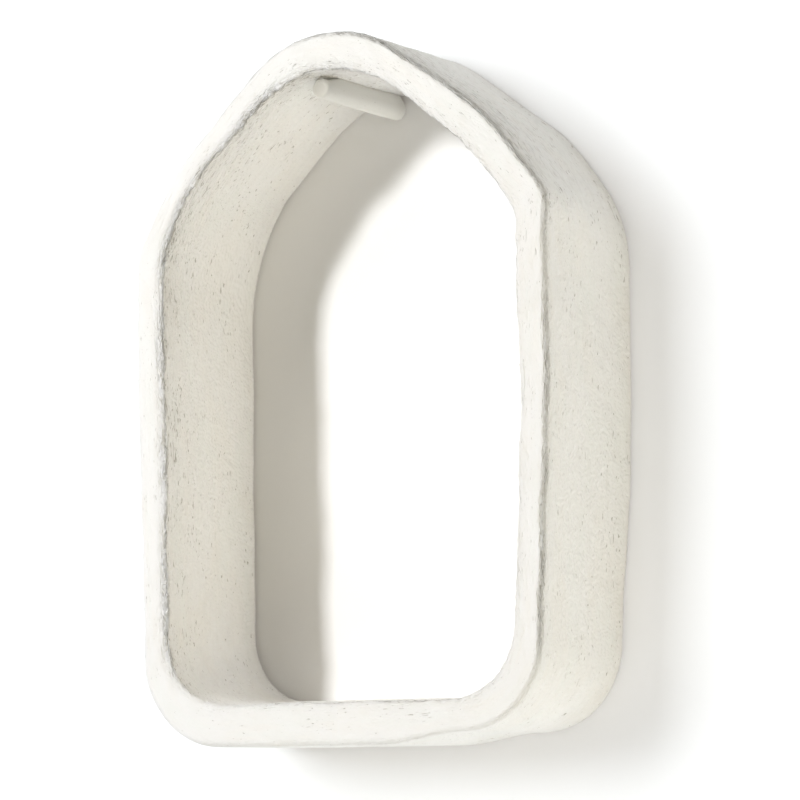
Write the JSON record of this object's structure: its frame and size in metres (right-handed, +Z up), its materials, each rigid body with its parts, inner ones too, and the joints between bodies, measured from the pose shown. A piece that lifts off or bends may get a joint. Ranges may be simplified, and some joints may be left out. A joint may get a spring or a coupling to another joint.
{
  "type": "papier-mache wall niche",
  "caption": "Deep open-backed wall niche of painted papier-mache: flat base, straight sides and rounded gable head, with a round hanging peg under the inner peak.",
  "frame": {"origin": "middle of the whole object's box in X and Y, at the height of the flat underside", "axes": "+Z up from the base to the peak, +Y from the open front to the wall, +X to the right as seen from the front"},
  "size_m": [0.4208, 0.143, 0.6117],
  "materials": {
    "painted_papier_mache": "matte",
    "painted_wood": "matte"
  },
  "bodies": {
    "root": {"niche_shell": "painted_papier_mache", "hanging_peg": "painted_wood"}
  },
  "joints": []
}
